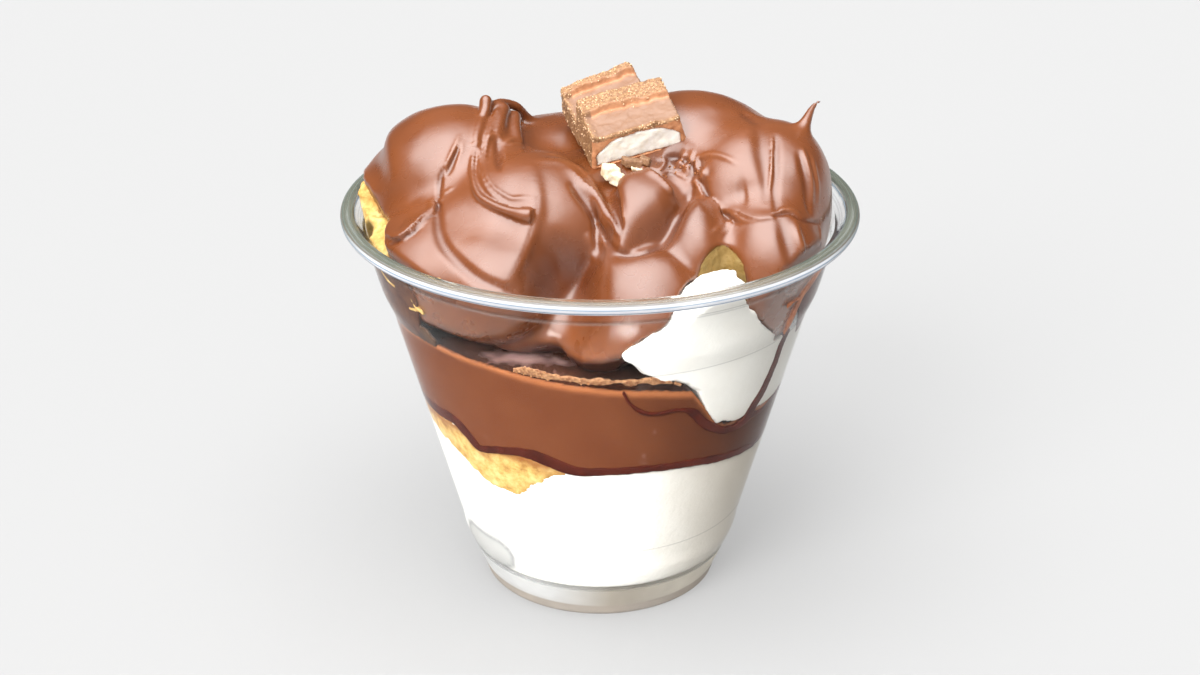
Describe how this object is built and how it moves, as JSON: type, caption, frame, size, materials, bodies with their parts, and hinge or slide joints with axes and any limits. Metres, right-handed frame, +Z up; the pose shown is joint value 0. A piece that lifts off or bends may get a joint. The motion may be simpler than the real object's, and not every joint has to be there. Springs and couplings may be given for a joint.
{
  "type": "hazelnut profiterole dessert in a cup",
  "caption": "Layered profiterole dessert in a clear tapered cup: white cream, hazelnut cream, whipped cream and choux buns under a heap of poured milk chocolate, topped with filled bar pieces.",
  "frame": {"origin": "centre of the cup's foot ring, on the surface that it stands on", "axes": "+Z up along the cup's axis, -Y towards the front where the whipped cream shows to the right"},
  "size_m": [0.0948, 0.0948, 0.0982],
  "materials": {
    "clear_plastic": "thin clear moulded plastic, glossy",
    "white_cream": "soft whipped cream, satin",
    "baked_choux": "baked choux crust, dry and finely cracked",
    "hazelnut_cream": "smooth hazelnut cream, satin",
    "poured_chocolate": "poured milk chocolate, soft gloss",
    "bar_chocolate": "milk chocolate, satin with crumbly broken edges",
    "bar_filling": "white milk filling, matt"
  },
  "bodies": {
    "root": {"cup": "clear_plastic", "cream_lower": "white_cream", "choux_lower": "baked_choux", "hazelnut_cream": "hazelnut_cream", "whipped_cream": "white_cream", "choux_left": "baked_choux", "choux_right": "baked_choux", "chocolate_coat": "poured_chocolate", "bar_front": "bar_chocolate", "bar_filling": "bar_filling", "bar_rear": "bar_chocolate"}
  },
  "joints": []
}
